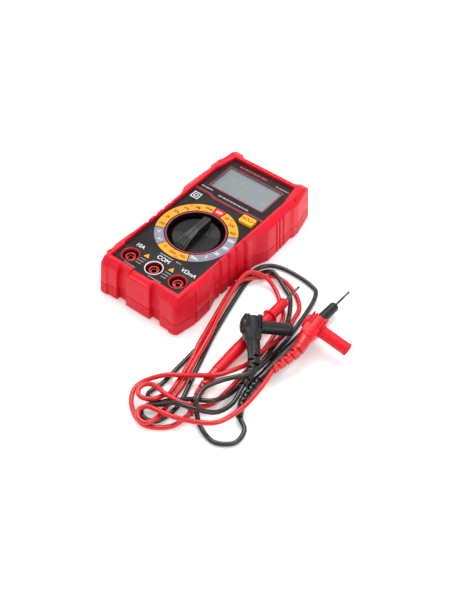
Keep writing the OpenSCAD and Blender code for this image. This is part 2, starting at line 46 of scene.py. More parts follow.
def make_camera():
    az, el, roll = math.radians(36.55), math.radians(46.43), math.radians(1.86)
    back = Vector((math.sin(az) * math.cos(el), -math.cos(az) * math.cos(el), math.sin(el)))
    right = (-back).cross(Vector((0, 0, 1))).normalized()
    up = right.cross(-back)
    turned = math.cos(roll) * right + math.sin(roll) * up
    raised = -math.sin(roll) * right + math.cos(roll) * up
    data = bpy.data.cameras.new("camera")
    data.lens = 68.95
    data.sensor_width = 36
    data.clip_start, data.clip_end = 0.05, 20
    cam = bpy.data.objects.new("camera", data)
    m = Matrix((turned, raised, back)).transposed().to_4x4()
    m.translation = Vector((0.3866, -0.4970, 0.6100))
    cam.matrix_world = m
    bpy.context.scene.collection.objects.link(cam)
    bpy.context.scene.camera = cam


make_camera()

# ------------------------------------------------------------------ materials


def linear(rgb):
    return tuple((c / 255 / 12.92) if c <= 10 else ((c / 255 + 0.055) / 1.055) ** 2.4 for c in rgb)


def surface(name, rgb, rough=0.4, rough_vary=0.08, mottle=0.06, mottle_scale=90, grain=2600,
            grain_depth=0.012, worn_and_highlit=0.0, metallic=0.0, coat=0.0, alpha=1.0, streak=None,
            worn_and_highlit_rgb=None, spec=0.5):
    """Moulded plastic, rubber or metal: mottled colour, uneven roughness, a fine moulded grain
    and lighter edges, partly wear and partly a painted highlight on the edges."""
    mat = bpy.data.materials.new(name)
    mat.use_nodes = True
    nt = mat.node_tree
    n, link = nt.nodes, nt.links.new
    bsdf = n["Principled BSDF"]
    bsdf.inputs["Metallic"].default_value = metallic
    bsdf.inputs["Coat Weight"].default_value = coat
    bsdf.inputs["Coat Roughness"].default_value = 0.12
    bsdf.inputs["Specular IOR Level"].default_value = spec
    bsdf.inputs["Alpha"].default_value = alpha
    where = n.new("ShaderNodeTexCoord")
    source = where.outputs["Object"]
    if streak:
        stretch = n.new("ShaderNodeMapping")
        stretch.inputs["Scale"].default_value = streak
        link(source, stretch.inputs["Vector"])
        source = stretch.outputs["Vector"]

    def noise(scale, detail):
        t = n.new("ShaderNodeTexNoise")
        t.inputs["Scale"].default_value = scale
        t.inputs["Detail"].default_value = detail
        link(source, t.inputs["Vector"])
        return t.outputs["Fac"]

    base = linear(rgb)
    low = tuple(max(c * (1 - mottle), 0) for c in base) + (1,)
    high = tuple(min(c * (1 + mottle), 1) for c in base) + (1,)
    ramp = n.new("ShaderNodeValToRGB")
    ramp.color_ramp.elements[0].position = 0.35
    ramp.color_ramp.elements[0].color = low
    ramp.color_ramp.elements[1].position = 0.65
    ramp.color_ramp.elements[1].color = high
    link(noise(mottle_scale, 4), ramp.inputs["Fac"])
    colour = ramp.outputs["Color"]
    # lighter convex edges, patchy: partly wear and partly a painted highlight where the edges
    # catch the light
    if worn_and_highlit:
        geo = n.new("ShaderNodeNewGeometry")
        edge = n.new("ShaderNodeMapRange")
        edge.inputs["From Min"].default_value = 0.52
        edge.inputs["From Max"].default_value = 0.62
        edge.inputs["To Max"].default_value = worn_and_highlit
        link(geo.outputs["Pointiness"], edge.inputs["Value"])
        patchy = n.new("ShaderNodeMath")
        patchy.operation = "MULTIPLY"
        link(edge.outputs["Result"], patchy.inputs[0])
        link(noise(420, 3), patchy.inputs[1])
        mix = n.new("ShaderNodeMix")
        mix.data_type = "RGBA"
        mix.inputs["B"].default_value = (*(linear(worn_and_highlit_rgb) if worn_and_highlit_rgb else
                                           [min(1, c * 1.5 + 0.05) for c in base]), 1)
        link(patchy.outputs["Value"], mix.inputs["Factor"])
        link(colour, mix.inputs["A"])
        colour = mix.outputs["Result"]
    link(colour, bsdf.inputs["Base Color"])
    uneven = n.new("ShaderNodeMapRange")
    uneven.inputs["From Min"].default_value = 0.3
    uneven.inputs["From Max"].default_value = 0.7
    uneven.inputs["To Min"].default_value = max(rough - rough_vary, 0.02)
    uneven.inputs["To Max"].default_value = rough + rough_vary
    link(noise(mottle_scale * 4, 3), uneven.inputs["Value"])
    link(uneven.outputs["Result"], bsdf.inputs["Roughness"])
    bump = n.new("ShaderNodeBump")
    bump.inputs["Strength"].default_value = 0.6
    bump.inputs["Distance"].default_value = grain_depth * MM
    link(noise(grain, 2), bump.inputs["Height"])
    link(bump.outputs["Normal"], bsdf.inputs["Normal"])
    return mat


RED = (214, 0, 34)
# The lighter edge colours given below are partly wear and partly a painted highlight on the edges.
case_red = surface("case_red", RED, 0.46, 0.06, 0.05, 60, 3000, 0.02, worn_and_highlit=0.35,
                   worn_and_highlit_rgb=(255, 70, 84), spec=0.3)
# the rear half's red, a little darker than the front's: painted shade on the lower half of the
# case
shaded_back_red = surface("case_red_back_shaded", (204, 0, 32), 0.5, 0.07, 0.05, 60, 2600, 0.03, worn_and_highlit=0.3,
                   worn_and_highlit_rgb=(255, 70, 84), spec=0.28)
panel_mat = surface("panel_print", (23, 19, 21), 0.45, 0.08, 0.14, 120, 3800, 0.015, spec=0.2)
# near-black: the own colour of the dark inner parts, and painted shade where it lines the knob's
# well and the floors of the socket wells
dark_parts_and_shade_mat = surface("inner_dark_and_painted_shade", (12, 11, 12), 0.6, 0.1, 0.15, 150, 3000, 0.02, spec=0.2)
print_orange = surface("print_orange", (244, 158, 34), 0.5, 0.06, 0.05, 200, 5000, 0.006,
                       spec=0.25)
print_grey = surface("print_grey", (134, 133, 148), 0.5, 0.06, 0.05, 200, 5000, 0.006, spec=0.25)
print_red = surface("print_red", (205, 18, 36), 0.5, 0.06, 0.06, 200, 5000, 0.006, spec=0.25)
print_pink = surface("print_pink", (198, 52, 70), 0.5, 0.06, 0.06, 200, 5000, 0.006, spec=0.25)
print_white = surface("print_white", (226, 224, 224), 0.5, 0.06, 0.04, 200, 5000, 0.006,
                      spec=0.25)
print_pale = surface("print_pale", (170, 166, 167), 0.5, 0.06, 0.06, 200, 5000, 0.006, spec=0.25)
print_black = surface("print_black", (44, 20, 10), 0.5, 0.06, 0.1, 200, 5000, 0.006, spec=0.25)
knob_mat = surface("knob_black", (13, 11, 12), 0.42, 0.08, 0.14, 140, 3200, 0.03, worn_and_highlit=0.35,
                   worn_and_highlit_rgb=(100, 98, 100), spec=0.22)
bar_mat = surface("knob_bar", (25, 24, 26), 0.36, 0.08, 0.12, 140, 3200, 0.03, worn_and_highlit=0.5,
                  worn_and_highlit_rgb=(120, 118, 122), spec=0.35)
button_mat = surface("button_orange", (255, 172, 14), 0.36, 0.06, 0.05, 160, 2400, 0.02,
                     worn_and_highlit=0.25, worn_and_highlit_rgb=(255, 228, 120), spec=0.35)
# a darker copy of the jack red for the walls of the socket wells and bores: painted shade in the
# recess
painted_shade_red = surface("painted_shade_red", (96, 0, 12), 0.4, 0.06, 0.1, 160, 2200, 0.012, spec=0.3)
jack_red = surface("jack_red", (205, 0, 26), 0.3, 0.06, 0.05, 160, 2200, 0.012, coat=0.1)
jack_white = surface("jack_white", (232, 228, 228), 0.3, 0.06, 0.04, 160, 2200, 0.012)
lcd_mat = surface("lcd_grey", (124, 132, 134), 0.24, 0.05, 0.03, 26, 5200, 0.004, coat=0.2)
window_mat = surface("window_clear", (170, 180, 182), 0.06, 0.02, 0.02, 60, 900, 0.002,
                     alpha=0.14, spec=0.5)
brass_mat = surface("brass", (205, 165, 88), 0.28, 0.08, 0.1, 300, 1500, 0.01, metallic=1)
nickel_mat = surface("nickel", (112, 106, 102), 0.24, 0.07, 0.1, 300, 1500, 0.008, metallic=1,
                     streak=(1, 0.1, 1))
steel_mat = surface("screw_steel", (160, 160, 164), 0.35, 0.1, 0.1, 300, 2500, 0.01, metallic=1)
stand_mat = surface("stand_dark", (36, 34, 36), 0.42, 0.08, 0.12, 120, 2400, 0.03, worn_and_highlit=0.3)
foot_mat = surface("foot_rubber", (30, 30, 31), 0.7, 0.08, 0.15, 200, 1500, 0.04)
lead_red = surface("lead_red", (208, 8, 22), 0.3, 0.07, 0.07, 110, 1400, 0.015, coat=0.15)
lead_black = surface("lead_black", (13, 11, 11), 0.28, 0.08, 0.15, 110, 1400, 0.015, coat=0.3)
plug_red = surface("plug_red", (222, 2, 28), 0.38, 0.07, 0.05, 130, 2400, 0.02, worn_and_highlit=0.3,
                   worn_and_highlit_rgb=(255, 84, 90), spec=0.35)
plug_black = surface("plug_black", (13, 12, 13), 0.36, 0.08, 0.14, 130, 2400, 0.02, worn_and_highlit=0.4,
                     worn_and_highlit_rgb=(104, 102, 102), spec=0.45)
board_mat = surface("board_green", (24, 84, 52), 0.35, 0.1, 0.2, 400, 1200, 0.02, coat=0.2)
copper_mat = surface("copper", (190, 116, 74), 0.35, 0.1, 0.12, 300, 1500, 0.01, metallic=1)
ivory_mat = surface("ivory", (222, 216, 200), 0.5, 0.08, 0.05, 200, 2200, 0.02)
battery_mat = surface("battery_wrap", (70, 76, 90), 0.32, 0.06, 0.08, 150, 2200, 0.01, coat=0.3)
silicone_mat = surface("silicone_pink", (226, 140, 150), 0.5, 0.08, 0.08, 300, 2200, 0.02)

# ------------------------------------------------------------------ making meshes


def piece(name, verts, faces, mat, body=None, smooth=40, weld=0.0):
    """A mesh from millimetre points, shaded smooth where faces meet at less than `smooth`."""
    me = bpy.data.meshes.new(name)
    me.from_pydata([(p[0] * MM, p[1] * MM, p[2] * MM) for p in verts], [], faces)
    bm = bmesh.new()
    bm.from_mesh(me)
    bmesh.ops.remove_doubles(bm, verts=bm.verts, dist=1e-7 + weld * MM)
    bmesh.ops.dissolve_degenerate(bm, dist=1e-7, edges=bm.edges)
    bmesh.ops.recalc_face_normals(bm, faces=bm.faces)
    bm.to_mesh(me)
    bm.free()
    return shown(name, me, mat, body, smooth)


def shown(name, me, mat, body=None, smooth=40):
    me.materials.clear()
    me.materials.append(mat)
    if smooth:
        me.shade_smooth()
        me.set_sharp_from_angle(angle=math.radians(smooth))
    o = bpy.data.objects.new(name, me)
    bpy.context.scene.collection.objects.link(o)
    if body:
        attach(o, body)
    return o


def joined(name, objs, body, smooth=40):
    """One piece from several, each keeping its own material."""
    bm = bmesh.new()
    mats = []
    for o in objs:
        mat = o.data.materials[0]
        if mat not in mats:
            mats.append(mat)
        me = o.data
        me.transform(o.matrix_world)
        start = len(bm.faces)
        bm.from_mesh(me)
        bm.faces.ensure_lookup_table()
        for f in bm.faces[start:]:
            f.material_index = mats.index(mat)
        bpy.data.objects.remove(o)
    me = bpy.data.meshes.new(name)
    bm.to_mesh(me)
    bm.free()
    for m in mats:
        me.materials.append(m)
    if smooth:
        me.shade_smooth()
        me.set_sharp_from_angle(angle=math.radians(smooth))
    o = bpy.data.objects.new(name, me)
    bpy.context.scene.collection.objects.link(o)
    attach(o, body)
    return o


def loft(rings, close=False, cap=True):
    n, m = len(rings[0]), len(rings)
    verts = [p for r in rings for p in r]
    faces = []
    for i in range(m if close else m - 1):
        a, b = i * n, ((i + 1) % m) * n
        for k in range(n):
            j = (k + 1) % n
            faces.append((a + k, a + j, b + j, b + k))
    if cap and not close:
        faces += [tuple(range(n - 1, -1, -1)), tuple(range((m - 1) * n, m * n))]
    return verts, faces


def lathe(name, profile, mat, body=None, at=(0, 0, 0), seg=64, along=None, smooth=40, rnd=0.0):
    """A turned piece. The profile is (radius, height) points, and it turns about +Z, or about
    the first axis of the matrix `along`."""
    if rnd:
        profile = rounded(profile, rnd, closed=False)
    verts, faces = [], []
    for r, z in profile:
        verts += [(max(r, 1e-4) * math.cos(2 * math.pi * k / seg),
                   max(r, 1e-4) * math.sin(2 * math.pi * k / seg), z) for k in range(seg)]
    for i in range(len(profile) - 1):
        for k in range(seg):
            j = (k + 1) % seg
            faces.append((i * seg + k, i * seg + j, (i + 1) * seg + j, (i + 1) * seg + k))
    if along is not None:
        verts = [along @ Vector((z, x, y)) for x, y, z in verts]
    else:
        verts = [(x + at[0], y + at[1], z + at[2]) for x, y, z in verts]
    return piece(name, verts, faces, mat, body, smooth, weld=0.0005)


def rounded(pts, r, closed=True, steps=3):
    """The same outline with its corners rounded."""
    out, n = [], len(pts)
    for i, p in enumerate(pts):
        if not closed and i in (0, n - 1):
            out.append(tuple(p))
            continue
        p, a, b = Vector(p), Vector(pts[i - 1]), Vector(pts[(i + 1) % n])
        da, db = min(r, 0.42 * (a - p).length), min(r, 0.42 * (b - p).length)
        s, e = p + (a - p).normalized() * da, p + (b - p).normalized() * db
        for k in range(steps + 1):
            t = k / steps
            out.append(tuple((1 - t) ** 2 * s + 2 * t * (1 - t) * p + t * t * e))
    return out


def circle(cx, cy, r, seg=72, start=0.0, end=360.0):
    full = abs(end - start - 360) < 1e-6
    count = seg if full else seg + 1
    return [(cx + r * math.cos(math.radians(start + (end - start) * k / seg)),
             cy + r * math.sin(math.radians(start + (end - start) * k / seg)))
            for k in range(count)]


def box2(x0, y0, x1, y1, r=0.0):
    pts = [(x0, y0), (x1, y0), (x1, y1), (x0, y1)]
    return rounded(pts, r, steps=6) if r else pts


def plate(name, loops, z0, z1, mat, body=None, bevel=0.0, along=None, smooth=40):
    """A flat plate with holes and rounded edges, from the loops of its outline."""
    cu = bpy.data.curves.new(name, "CURVE")
    cu.dimensions = "2D"
    cu.fill_mode = "BOTH"
    for loop in loops:
        sp = cu.splines.new("POLY")
        sp.points.add(len(loop) - 1)
        for q, p in zip(sp.points, loop):
            q.co = (p[0], p[1], 0, 1)
        sp.use_cyclic_u = True
    cu.extrude = max((z1 - z0) / 2 - bevel, 0.0005)
    cu.bevel_depth = bevel
    cu.bevel_resolution = 2
    cu.offset = -bevel
    o = bpy.data.objects.new(name, cu)
    bpy.context.scene.collection.objects.link(o)
    dg = bpy.context.evaluated_depsgraph_get()
    me = bpy.data.meshes.new_from_object(o.evaluated_get(dg))
    bpy.data.objects.remove(o)
    me.transform(Matrix.Translation((0, 0, (z0 + z1) / 2)))
    if along is not None:
        me.transform(along)
    me.transform(Matrix.Scale(MM, 4))
    bm = bmesh.new()
    bm.from_mesh(me)
    bmesh.ops.remove_doubles(bm, verts=bm.verts, dist=1e-6)
    bm.to_mesh(me)
    bm.free()
    return shown(name, me, mat, body, smooth)


def lettering(text, x, y, size, mat, z, turn=0.0, wide=1.0):
    cu = bpy.data.curves.new("letters", "FONT")
    cu.body = text
    cu.size = size
    cu.align_x, cu.align_y = "CENTER", "CENTER"
    cu.extrude = 0.004
    cu.offset = (0.012 if size > 4 else 0.02) * size
    o = bpy.data.objects.new("letters", cu)
    bpy.context.scene.collection.objects.link(o)
    dg = bpy.context.evaluated_depsgraph_get()
    me = bpy.data.meshes.new_from_object(o.evaluated_get(dg))
    bpy.data.objects.remove(o)
    me.transform(Matrix.Scale(MM, 4) @ Matrix.Translation((x, y, z))
                 @ Matrix.Rotation(math.radians(turn), 4, "Z")
                 @ Matrix.Diagonal((wide, 1, 1, 1)))
    return shown("letters", me, mat, None, 0)


def band(pts, width):
    """The outline of a line of even width."""
    left, right = [], []
    for i, p in enumerate(pts):
        a, b = Vector(pts[max(i - 1, 0)]), Vector(pts[min(i + 1, len(pts) - 1)])
        n = (b - a).normalized()
        n = Vector((-n.y, n.x)) * width / 2
        left.append(tuple(Vector(p) + n))
        right.append(tuple(Vector(p) - n))
    return left + right[::-1]


def spline(pts, per, floor=0.0):
    """A smooth curve through points, as part.scad draws it."""
    e = [2 * Vector(pts[0]) - Vector(pts[1]), *map(Vector, pts),
         2 * Vector(pts[-1]) - Vector(pts[-2])]
    out = []
    for i in range(len(pts) - 1):
        a, b, c, d = e[i:i + 4]
        for k in range(per):
            t = k / per
            out.append(0.5 * (2 * b + (c - a) * t + (2 * a - 5 * b + 4 * c - d) * t * t
                              + (3 * b - a - 3 * c + d) * t ** 3))
    out.append(Vector(pts[-1]))
    return [Vector((p.x, p.y, max(p.z, floor))) for p in out]


def place(at, turn):
    x, y, z = (math.radians(t) for t in turn)
    return (Matrix.Translation(at) @ Matrix.Rotation(z, 4, "Z") @ Matrix.Rotation(y, 4, "Y")
            @ Matrix.Rotation(x, 4, "X"))


def sweep(name, path, radius, mat, body, seg=28, smooth=45):
    """A round piece along a path. radius(s, angle) is in millimetres, with s from 0 to 1."""
    lengths = [0.0]
    for p, q in zip(path, path[1:]):
        lengths.append(lengths[-1] + (q - p).length)
    rings = []
    for i, p in enumerate(path):
        t = (path[min(i + 1, len(path) - 1)] - path[max(i - 1, 0)]).normalized()
        side = t.cross(Vector((0, 0, 1))).normalized()
        up = side.cross(t)
        ring = []
        for k in range(seg):
            a = 2 * math.pi * k / seg
            r = radius(lengths[i] / lengths[-1], a)
            ring.append(tuple(p + side * math.cos(a) * r + up * math.sin(a) * r))
        rings.append(ring)
    verts, faces = loft(rings)
    return piece(name, verts, faces, mat, body, smooth)

# ------------------------------------------------------------------ leads

# A neck runs from a plug to its cord and a tail from a cord to its probe. A route is the middle
# line of the cord between them.
RED_NECK = [[115.7, -35.2, 17.6], [117, -42, 16.3], [117.5, -50, 14.6], [115.5, -59, 12.6],
            [113, -70, 10.6]]
BLACK_NECK = [[87.6, -60.8, 16.5], [93, -66, 14.2], [99, -74, 11.6], [102.5, -83, 9.6],
              [104, -91.5, 8.2]]
RED_TAIL = [[80.72, -91.5, 5.37], [81.5, -104, 4.9], [84.5, -118, 4.4], [89.5, -131, 3.8]]
BLACK_TAIL = [[108.53, -71.5, 5.07], [108, -84, 4.8], [110.5, -101, 4.4],
              [116.5, -112.5, 3.8]]
RED_ROUTE = [
    [113, -70, 10.6], [116, -90, 10.8], [116.5, -109.5, 11], [112, -128, 11.2],
    [101, -137, 10.6], [85, -142.5, 8.8], [73, -145.2, 9.2], [66, -146.6, 8.8],
    [62.6, -151.4, 7.9], [66.2, -156.6, 7], [72, -156.4, 6.2], [75.2, -149.5, 5.6],
    [73.8, -140, 3.8], [71.6, -131, 1.9], [69, -114, 1.9], [65, -100, 4.4],
    [59, -73, 8.6], [50.5, -48.5, 8.4], [42.5, -17, 9],
    [42.5, -5.5, 9.8], [48, -1, 9], [56, 1, 6.5], [66, -2, 3], [76, -10, 1.8],
    [85.5, -20, 1.8], [90.5, -38.5, 1.8], [94.5, -66, 1.8], [95.5, -108, 1.8], [92, -122, 5],
    [86.5, -128, 8.6], [78, -131, 9.2], [68, -132, 10.6], [60, -131, 10.4],
    [53.6, -132.6, 9.6], [51.4, -138, 8.9], [54.6, -142.6, 8.5], [60.2, -142.2, 8.3],
    [64.8, -138, 8], [66.8, -131.5, 6.4], [66.4, -122, 2.2],
    [60, -93, 3.4], [56, -80, 5.5], [53, -69, 5.5],
    [41.5, -25, 5.3], [41.5, -12, 5.6], [46, -3, 4.8], [50, 3, 2.6], [55, 10, 1.8],
    [66, 10.5, 1.8], [79.5, 4.5, 1.8], [89, -4.5, 1.8], [92.5, -16.5, 2], [97.5, -36, 5.5],
    [94.5, -58.5, 5.6], [94, -74, 6.6], [93.5, -82, 9.8], [91, -90, 11.4], [85, -99, 11],
    [67, -109, 6.6], [55, -117.5, 5.5], [45, -132, 1.8], [51.5, -147, 1.8], [69, -155.8, 1.8],
    [84.5, -146.5, 1.8], [89.5, -131, 3.8]
]
BLACK_ROUTE = [
    [104, -91.5, 8.2], [107, -108, 6.4], [103.5, -122, 8], [92.5, -131, 12.4],
    [80, -135, 12.2], [71, -139.8, 8], [64.8, -142.8, 5.6], [61.6, -147.4, 4],
    [65, -151.2, 2.6], [71, -150.8, 1.8], [76.2, -145.4, 1.8], [77.5, -128, 1.8], [67, -95.5, 1.8],
    [56, -61.5, 1.8], [45.4, -18.5, 1.8], [43.6, -6, 1.8], [46, 5, 2.4], [51.5, 9, 5.2],
    [57, 9.5, 5.5], [69, 4.5, 2.8], [79.5, -2.5, 1.8], [92.5, -27, 1.8], [99, -65.5, 1.8],
    [99.5, -88, 1.8], [99.5, -104, 5], [96, -116, 8.4], [86, -122.5, 8.7], [78, -127, 6.2],
    [72, -132.5, 5.9], [66.6, -136.6, 4], [60.8, -138.2, 3], [56, -135, 2.4],
    [55.6, -129.5, 1.9], [57, -122, 1.8], [56.5, -105.5, 1.8], [54.5, -71.5, 1.8],
    [46.5, -48.5, 1.8], [41.4, -22.5, 1.8], [39.9, -2, 1.8], [43.6, 14, 1.8], [56, 21, 1.8],
    [81, 20, 1.8], [92, 11, 1.8], [99.5, -28.5, 2.2], [101.5, -46, 3.4], [103.8, -64, 8.6],
    [104.5, -77, 12], [101.5, -88, 13.6], [92, -101, 12.6], [87.5, -114, 13],
    [90, -124.5, 12], [94.5, -130, 7], [101.5, -134.5, 2.6], [115, -138, 1.8],
    [126, -130, 1.8], [125, -118, 2], [116.5, -112.5, 3.8]
]
CORD_D = 3.4


def make_cord(name, route, mat):
    path = spline(route, 7, CORD_D / 2 + 0.05)
    cu = bpy.data.curves.new(name, "CURVE")
    cu.dimensions = "3D"
    cu.bevel_depth = CORD_D / 2 * MM
    cu.bevel_resolution = 5
    cu.use_fill_caps = True
    sp = cu.splines.new("POLY")
    sp.points.add(len(path) - 1)
    for q, p in zip(sp.points, path):
        q.co = (*(p * MM), 1)
    cu.materials.append(mat)
    o = bpy.data.objects.new(name, cu)
    bpy.context.scene.collection.objects.link(o)
    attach(o, "base")
    length = sum((b - a).length for a, b in zip(path, path[1:])) * MM
    return o, path[0] * MM, length


def notched(big, small, first, count, tongue=0.0):
    """Radius of a strain relief: a plain neck, which may carry the head's raised tongue, then
    segments cut by slots from alternate sides."""
    def radius(s, a):
        r = big + (small - big) * min(1.0, s * 1.05)
        if s < first:
            if tongue and s < first * 0.82 and abs(math.sin(a)) > 0.86:
                r += tongue
            return r
        u = (s - first) / (1 - first) * count
        part, within = int(u), u - int(u)
        if 0.40 < within and part < count:
            side = math.cos(a) * (1 if part % 2 else -1)
            depth = min(1.0, max(0.0, (side + 0.05) / 0.25))
            edge = min(1.0, (within - 0.40) / 0.10, (1 - within) / 0.10)
            return r * (1.03 - 0.44 * depth * edge)
        return r * 1.03
    return radius


def dense(path, n):
    """The same path with n evenly spread points."""
    lengths = [0.0]
    for p, q in zip(path, path[1:]):
        lengths.append(lengths[-1] + (q - p).length)
    out, k = [], 0
    for i in range(n):
        want = lengths[-1] * i / (n - 1)
        while k < len(path) - 2 and lengths[k + 1] < want:
            k += 1
        t = (want - lengths[k]) / (lengths[k + 1] - lengths[k])
        out.append(path[k].lerp(path[k + 1], min(max(t, 0), 1)))
    return out


def make_plug(side, at, turn, neck, mat, relief_mat):
    m = place(at, turn)
    parts = []
    # head: a rounded body with the cord leaving at the narrow end
    body = rounded([(-6.1, 5.2), (-3.6, 6.9), (3.6, 6.9), (6.3, 4.8), (6.3, -5.0), (5.3, -11.6),
                    (-5.2, -11.6), (-6.1, -5.0)], 1.8)
    parts.append(plate("h", [body], -5.3, 5.3, mat, None, 1.7, m))
    # round cap behind, opposite the shroud
    parts.append(lathe("h", [(0.01, -8), (3.4, -7.95), (5.2, -7.3), (5.8, -6.2), (5.9, -4.6),
                             (5.0, -4.0)], mat, None, seg=48, along=m))
    # ribs that wrap the closed end
    for x, w in ((-5.3, 1.1), (-3.3, 1.1), (4.3, 1.1), (5.95, 0.8)):
        rib = rounded([(-6.45, -2.6), (6.45, -2.6), (6.45, 6.3), (5.2, 7.7), (-5.2, 7.7),
                       (-6.45, 6.3)], 1.5)
        turned = m @ Matrix.Translation((x, 0, 0)) @ Matrix(
            ((0, 0, 1, 0), (0, 1, 0, 0), (1, 0, 0, 0), (0, 0, 0, 1)))
        parts.append(plate("h", [rib], -w / 2, w / 2, mat, None, 0.25, turned))
    # raised tongue on both faces, with its outline
    tongue = rounded([(-2.1, 6.3), (3.0, 6.3), (3.0, -10.4), (1.9, -12.2), (-1.2, -12.2),
                      (-2.1, -10.4)], 1.4)
    inner = rounded([(-1.3, 3.4), (2.2, 3.4), (2.2, -7.6), (1.2, -8.9), (-0.4, -8.9),
                     (-1.3, -7.6)], 1.1)
    for s in (1, -1):
        face = m @ Matrix.Scale(s, 4, (0, 0, 1))
        parts.append(plate("h", [tongue], 4.6, 5.95, mat, None, 0.25, face))
        parts.append(plate("h", [inner], 5.5, 6.3, mat, None, 0.16, face))
    head = joined(f"{side}_head", parts, "base", 35)
    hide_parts(f"{side}_plug_head")
    # shroud with a lip at its mouth
    shroud = lathe(f"{side}_shroud", [
        (4.1, 6.5), (4.9, 6.5), (4.62, 8.0), (4.62, 26.2), (4.62, 26.9), (4.8, 27.1), (4.8, 28.7),
        (4.6, 29.0), (4.2, 29.0), (4.1, 28.8), (4.1, 20), (4.1, 8)], mat, "base", seg=56,
        along=m, rnd=0.12)
    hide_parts(f"{side}_plug_collar")
    pin = lathe(f"{side}_pin", [(0.01, 25.5), (1.1, 25.3), (1.75, 24.4), (1.95, 23.2), (1.95, 22),
                                (1.7, 21.6), (1.7, 12.2), (1.95, 11.8), (1.95, 6.5), (0.01, 6.5)],
                nickel_mat, "base", seg=32, along=m)
    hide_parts(f"{side}_plug_pin")
    relief = sweep(f"{side}_relief", dense(spline(neck, 12), 260),
                   notched(5.3, 2.75, 0.34, 8, 0.35), relief_mat, "base", 40, 30)
    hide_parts(f"{side}_plug_relief")
    return [head, shroud, pin, relief]


def make_probe(side, at, turn, tail, mat, relief_mat):
    m = place(at, turn)
    handle = lathe(f"{side}_handle", [
        (0.01, -81), (3.7, -81), (3.9, -80.4), (4.05, -74), (4.4, -60), (4.4, -40), (4.22, -24),
        (4.2, -19.2), (0.01, -19.0)], mat, "base", seg=56, along=m, rnd=0.5)
    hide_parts(f"{side}_probe_handle")
    nose = lathe(f"{side}_nose", [
        (0.01, -19), (5.5, -19), (5.8, -18.8), (5.8, -18.3), (5.5, -18.0), (4.35, -17.6),
        (4.0, -16.4), (3.8, -8), (3.72, -1.2), (3.3, -0.3), (2.6, 0), (1.2, 0), (1.1, -0.5),
        (0.01, -0.5)], mat, "base", seg=56, along=m, rnd=0.2)
    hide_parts(f"{side}_probe_nose")
    tip = lathe(f"{side}_tip", [
        (0.01, 0), (1.0, 0), (1.0, 12.0), (0.7, 12.4), (0.7, 13.4), (1.12, 14.0), (1.12, 14.9),
        (0.66, 15.4), (0.66, 15.9), (1.12, 16.4), (0.95, 16.9), (0.12, 18.6), (0.01, 18.7)],
        nickel_mat, "base", seg=32, along=m)
    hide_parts(f"{side}_probe_tip")
    relief = sweep(f"{side}_probe_tail", dense(spline(tail, 12), 260),
                   notched(3.7, 2.4, 0.16, 10), relief_mat, "base", 36, 30)
    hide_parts(f"{side}_probe_relief")
    return [handle, nose, tip, relief]


# Each lead's side, path, the place and turn of its plug and of its probe, and its two materials
LEADS = (
    ("red", RED_ROUTE, RED_NECK, RED_TAIL, ([115.5, -26, 19], [9, 13, 3]),
     ([80.3, -11, 8.6], [0, -2.3, 90.3]), plug_red, lead_red),
    ("black", BLACK_ROUTE, BLACK_NECK, BLACK_TAIL, ([82, -54, 19.6], [20, 13, 44]),
     ([110.5, 9, 7.6], [0, -1.8, 88.6]), plug_black, lead_black),
)
for side, route, neck, tail, plug_at, probe_at, hard, soft in LEADS:
    cord, leaves, length = make_cord(f"{side}_flex", route, soft)
    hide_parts(f"{side}_cord")
    pieces = make_plug(side, *plug_at, neck, hard, soft)
    pieces += make_probe(side, *probe_at, tail, hard, soft)

# ------------------------------------------------------------------ case

JOIN, PANEL, RIM = 10.8, 31.3, 34.0


def groove(x, y, w, d):
    return [(x, y - w / 2), (x - d, y - w / 5), (x - d + 0.1, y + w / 5), (x + 0.1, y + w / 2)]


HALF = [(10.7, -79.9), (10.9, -75.3), (19.5, -75.1), (19.9, -79.6), (28.3, -79.7),
        (28.5, -80.6), (33.2, -80.7), (35.6, -78.8), *groove(38.5, -61.8, 1.6, 1), (37.8, -45.5),
        (34.6, -35.5)]
for gx, gy in ((35, -29.3), (35.3, -19.8), (35.5, -10.8), (36, -1.8)):
    HALF += groove(gx, gy, 3.6, 1.6)
HALF += [(36.6, 1.8), (35.9, 7.2), (36.4, 11.2), (40.4, 21)]
for gx, gy in ((40.1, 32.2), (39.9, 36.2), (39.6, 41.2)):
    HALF += groove(gx, gy, 1.5, 1.1)
HALF += [(38.9, 50.7), (40.2, 54.2), (39.9, 60.2), (35.2, 80.2), (34.2, 80.7), (28, 80.6),
         (25.3, 77.7)]
FACE = [(31.4, -72.6), (31.4, -57), (32.4, -56), (32.4, 52), (31.2, 56), (28.6, 70.7)]


def mirrored(half):
    return list(half) + [(-x, y) for x, y in reversed(half)]


def face_half_width(y):
    for (xa, ya), (xb, yb) in zip(FACE, FACE[1:]):
        if y <= yb:
            return xa + (xb - xa) * max(0, (y - ya)) / (yb - ya)
    return FACE[-1][0]


def fine_outline():
    """The case's outline with soft corners and points where the face's edge needs them."""
    stops_x = [s * v for v in (8.9, 9.4, 1, 4) for s in (-1, 1)]
    for k in range(7):
        c = -0.65 + 4.3 * (k - 3)
        stops_x += [c - 1.05, c - 0.75, c + 0.75, c + 1.05]
    stops_y = [-57, -56, 52, 56, -72.6, 70.7]
    base = rounded(mirrored(HALF), 0.55, steps=3)
    out = []
    for i, a in enumerate(base):
        b = base[(i + 1) % len(base)]
        cuts = []
        for axis, stops in ((0, stops_x), (1, stops_y)):
            if abs(a[axis] - b[axis]) > 1e-6 and (axis == 1 or abs(a[1] - b[1]) < 0.5):
                cuts += [(s - a[axis]) / (b[axis] - a[axis]) for s in stops]
        n = int(math.dist(a, b) / 3.5) + 1
        cuts += [k / n for k in range(1, n)]
        ts, last = [0.0], 0.0
        for t in sorted(t for t in cuts if 0.002 < t < 0.998):
            if t - last > 0.0015:
                ts.append(t)
                last = t
        out += [(a[0] + (b[0] - a[0]) * t, a[1] + (b[1] - a[1]) * t) for t in ts]
    return out


